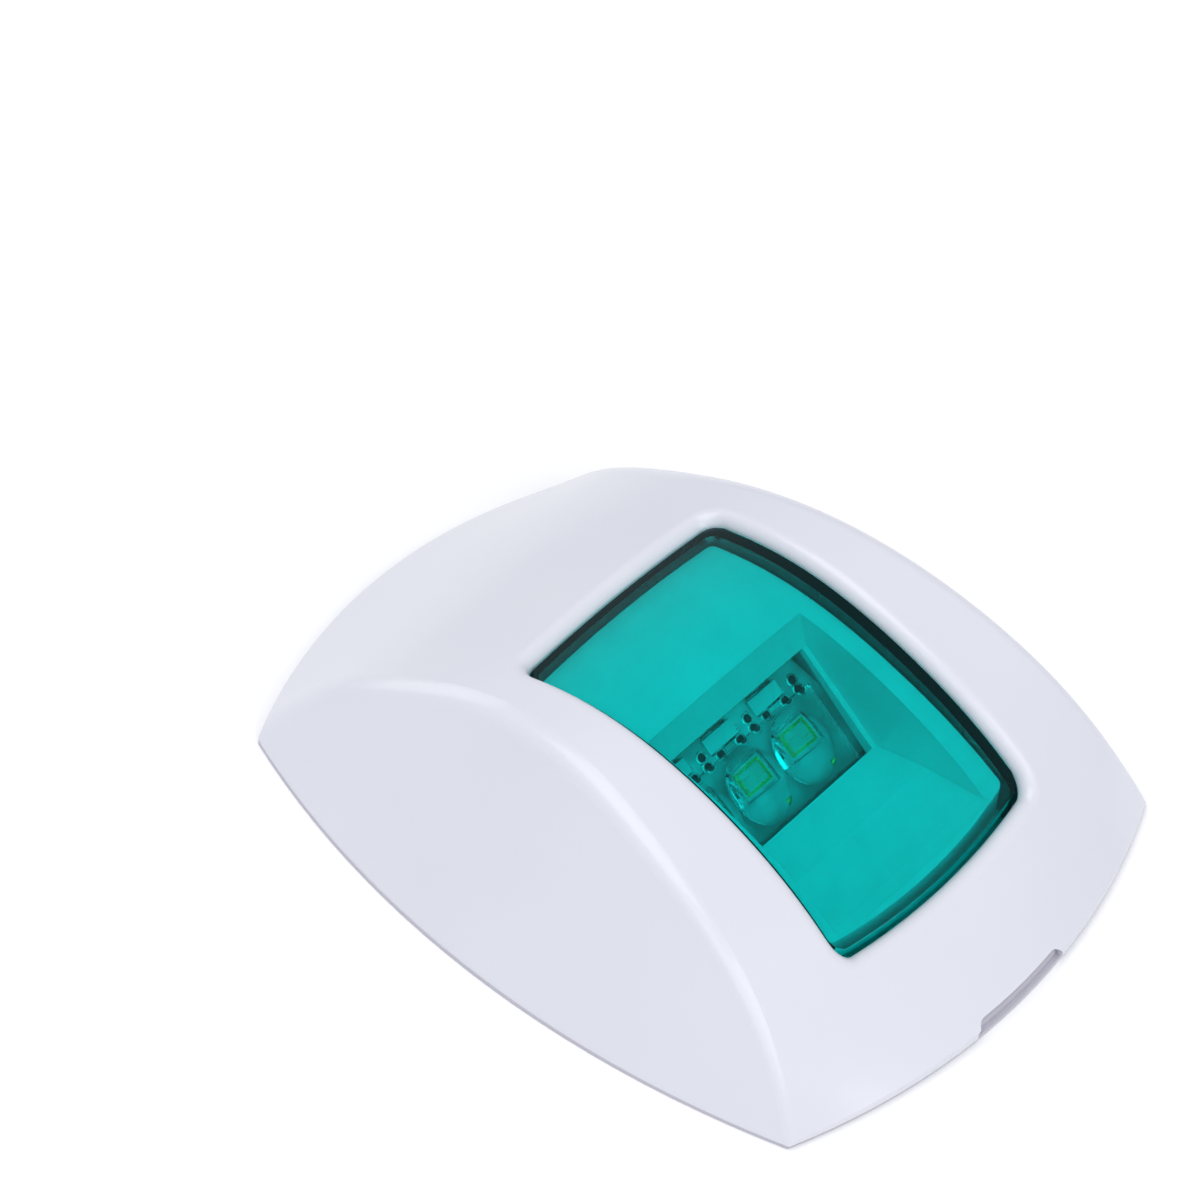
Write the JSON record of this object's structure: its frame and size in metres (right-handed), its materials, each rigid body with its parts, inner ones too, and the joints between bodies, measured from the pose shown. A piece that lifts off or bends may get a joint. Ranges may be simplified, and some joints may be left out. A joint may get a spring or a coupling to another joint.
{
  "type": "boat navigation side light",
  "caption": "Compact side-mount boat navigation light: white clip-on cover over a screwed base plate with a sealed green LED module.",
  "frame": {"origin": "centre of the mounting face, at the middle of the footprint's length and width", "axes": "+X towards the front end with the pry notch, +Y left, +Z away from the mounting surface"},
  "size_m": [0.0858, 0.0696, 0.023],
  "materials": {
    "cover_plastic": "glossy white ABS",
    "base_plastic": "satin pale grey ABS",
    "gasket_rubber": "closed-cell foam",
    "grommet_rubber": "matt",
    "housing_plastic": "satin white",
    "screw_steel": "stainless",
    "seal_rubber": "matt",
    "lens_green": "clear green polycarbonate, polished",
    "reflector_white": "polished white",
    "board_white": "white solder mask",
    "led_body": "white moulded package",
    "led_phosphor": "clear gel over the die",
    "chip_ceramic": "white ceramic",
    "optic_clear": "clear acrylic, polished",
    "spreader_aluminium": "mill finish",
    "board_green": "green solder mask",
    "terminal_brass": "tinned",
    "chip_black": "moulded epoxy",
    "inductor_black": "moulded ferrite",
    "capacitor_can": "can",
    "diode_black": "moulded epoxy",
    "resistor_black": "ceramic chip"
  },
  "bodies": {
    "base": {"base_plate": "base_plastic", "mounting_gasket": "gasket_rubber", "cable_grommet": "grommet_rubber", "module_housing": "housing_plastic", "module_screws": "screw_steel", "lens_seal": "seal_rubber", "lens": "lens_green", "reflector_tray": "reflector_white", "led_board": "board_white", "led_packages": "led_body", "led_emitters": "led_phosphor", "chip_resistors": "chip_ceramic", "optic_bar": "optic_clear", "heat_spreader": "spreader_aluminium", "driver_board": "board_green", "supply_terminals": "terminal_brass", "driver_chip": "chip_black", "driver_inductor": "inductor_black", "input_capacitors": "capacitor_can", "protection_diode": "diode_black", "driver_resistors": "resistor_black"},
    "cover": {"cover": "cover_plastic"}
  },
  "joints": [
    {"name": "cover_release", "type": "slide", "parent": "base", "child": "cover", "axis": [0, 0, 1], "range_m": [0, 0.045]}
  ]
}
